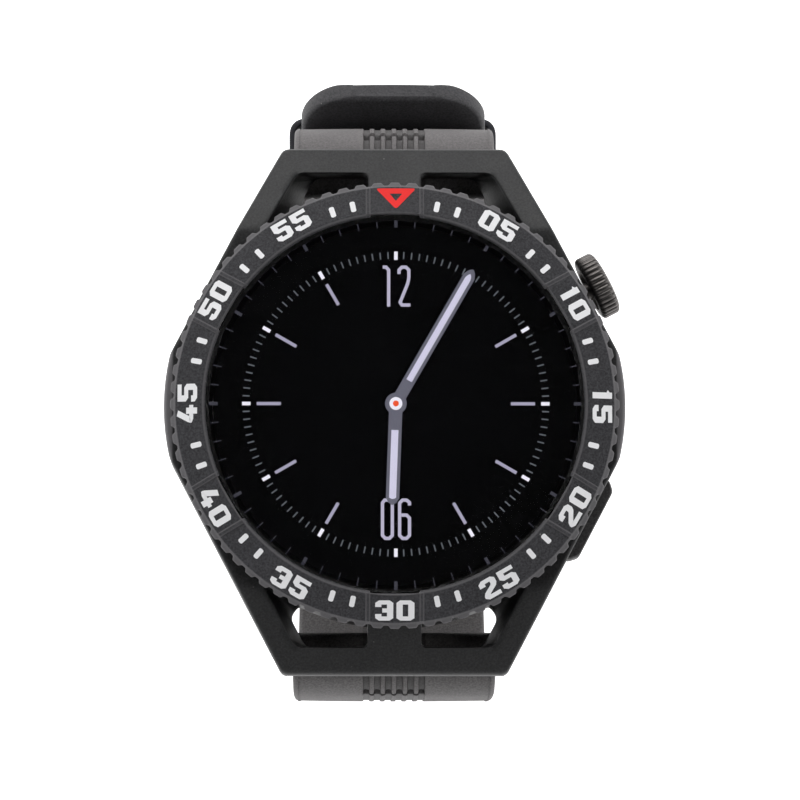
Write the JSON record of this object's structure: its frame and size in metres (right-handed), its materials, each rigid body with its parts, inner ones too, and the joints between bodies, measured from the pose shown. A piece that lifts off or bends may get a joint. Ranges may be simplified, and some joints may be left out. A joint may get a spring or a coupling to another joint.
{
  "type": "wrist dive computer",
  "caption": "Round-display wrist dive computer in an octagonal case with open lugs, turning minute bezel, push crown, side button and buckled ribbed strap.",
  "frame": {"origin": "middle of the sensor window's flat outer face under the case, where the wrist rests, straight below the dial's centre", "axes": "+Z out of the dial, +Y towards the 12 o'clock strap, +X towards the crown side"},
  "size_m": [0.0472, 0.0658, 0.0556],
  "materials": {
    "case": "fine matt texture, glass-filled polymer",
    "bezel": "satin dark grey coating",
    "glass": "polished",
    "display": "black display under glass",
    "gunmetal": "dark brushed finish",
    "steel": "satin",
    "seal": "matt",
    "board": "printed circuit board",
    "copper": "bare copper winding",
    "cell": "satin can",
    "carrier": "matt",
    "module": "matt",
    "strap": "matt moulded strap rubber"
  },
  "bodies": {
    "watch": {"case_body": "case", "rear_cover": "case", "cover_glass": "glass", "sensor_window": "glass", "display_panel": "display", "rear_cover_screw_1": "steel", "rear_cover_screw_2": "steel", "rear_cover_screw_3": "steel", "rear_cover_screw_4": "steel", "vibration_motor": "steel", "depth_sensor": "steel", "bezel_retaining_ring": "steel", "bezel_click_spring": "steel", "crown_tube": "steel", "buckle_bar": "steel", "spring_bar_12": "steel", "spring_bar_6": "steel", "rear_cover_gasket": "seal", "glass_gasket": "seal", "crown_seal": "seal", "button_seal": "seal", "sensor_board": "board", "main_board": "board", "charging_coil": "copper", "battery": "cell", "inner_frame": "carrier", "speaker": "module", "crown_switch": "module", "button_switch": "module", "strap_short": "strap", "strap_long": "strap", "fixed_keeper": "strap"},
    "bezel": {"bezel_ring": "bezel"},
    "crown_push": {"crown_plunger": "carrier"},
    "crown": {"crown_knob": "gunmetal", "crown_shaft": "steel"},
    "side_button": {"side_button": "bezel", "button_stem": "steel"},
    "buckle_frame": {"buckle_frame": "gunmetal"},
    "buckle_tongue": {"buckle_tongue": "gunmetal"},
    "free_keeper": {"free_keeper": "strap"},
    "quick_release_12": {"quick_release_12": "steel"},
    "quick_release_6": {"quick_release_6": "steel"}
  },
  "joints": [
    {"name": "bezel_turn", "type": "hinge", "parent": "watch", "child": "bezel", "pos_m": [0, 0, 0.0107], "axis": [0, 0, 1], "continuous": true},
    {"name": "crown_press", "type": "slide", "parent": "watch", "child": "crown_push", "axis": [-0.8854, -0.4648, 0], "range_m": [0, 0.00045], "stiffness_N_per_m": 1200, "springref_m": -0.0006},
    {"name": "crown_turn", "type": "hinge", "parent": "crown_push", "child": "crown", "pos_m": [0.01957, 0.0122, 0.0058], "axis": [0.8854, 0.4648, 0], "continuous": true},
    {"name": "button_press", "type": "slide", "parent": "watch", "child": "side_button", "axis": [-0.8854, 0.4648, 0], "range_m": [0, 0.0004], "stiffness_N_per_m": 1500, "springref_m": -0.0006},
    {"name": "buckle_swing", "type": "hinge", "parent": "watch", "child": "buckle_frame", "pos_m": [0, -0.002, -0.0369], "axis": [1, 0, 0], "range_deg": [0, 2.5]},
    {"name": "tongue_swing", "type": "hinge", "parent": "buckle_frame", "child": "buckle_tongue", "pos_m": [0, -0.002, -0.0369], "axis": [1, 0, 0], "range_deg": [0, 2.5]},
    {"name": "keeper_slide", "type": "slide", "parent": "watch", "child": "free_keeper", "axis": [0, 0, 1], "range_m": [-0.0006, 0.0035]},
    {"name": "release_12", "type": "slide", "parent": "watch", "child": "quick_release_12", "axis": [-1, 0, 0], "range_m": [0, 0.0016], "stiffness_N_per_m": 800, "springref_m": -0.001},
    {"name": "release_6", "type": "slide", "parent": "watch", "child": "quick_release_6", "axis": [-1, 0, 0], "range_m": [0, 0.0016], "stiffness_N_per_m": 800, "springref_m": -0.001}
  ]
}
